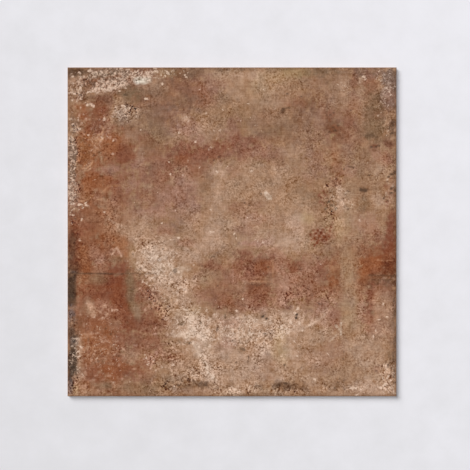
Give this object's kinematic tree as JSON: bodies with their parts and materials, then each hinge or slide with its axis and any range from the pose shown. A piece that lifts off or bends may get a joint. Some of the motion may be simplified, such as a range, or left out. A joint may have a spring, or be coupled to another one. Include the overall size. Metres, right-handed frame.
{
  "type": "stone-look floor tile",
  "caption": "Square stoneware floor tile with a flat printed face like worn terracotta, ground edges and a keyed bed.",
  "frame": {"origin": "centre of the bed, in the plane that the back's ribs rest on", "axes": "+Z out of the printed wear face, X and Y along the sides, -Y side at the bottom of the picture"},
  "size_m": [0.6, 0.6, 0.01],
  "materials": {
    "stoneware": "matte"
  },
  "bodies": {
    "root": {"tile": "stoneware"}
  },
  "joints": []
}
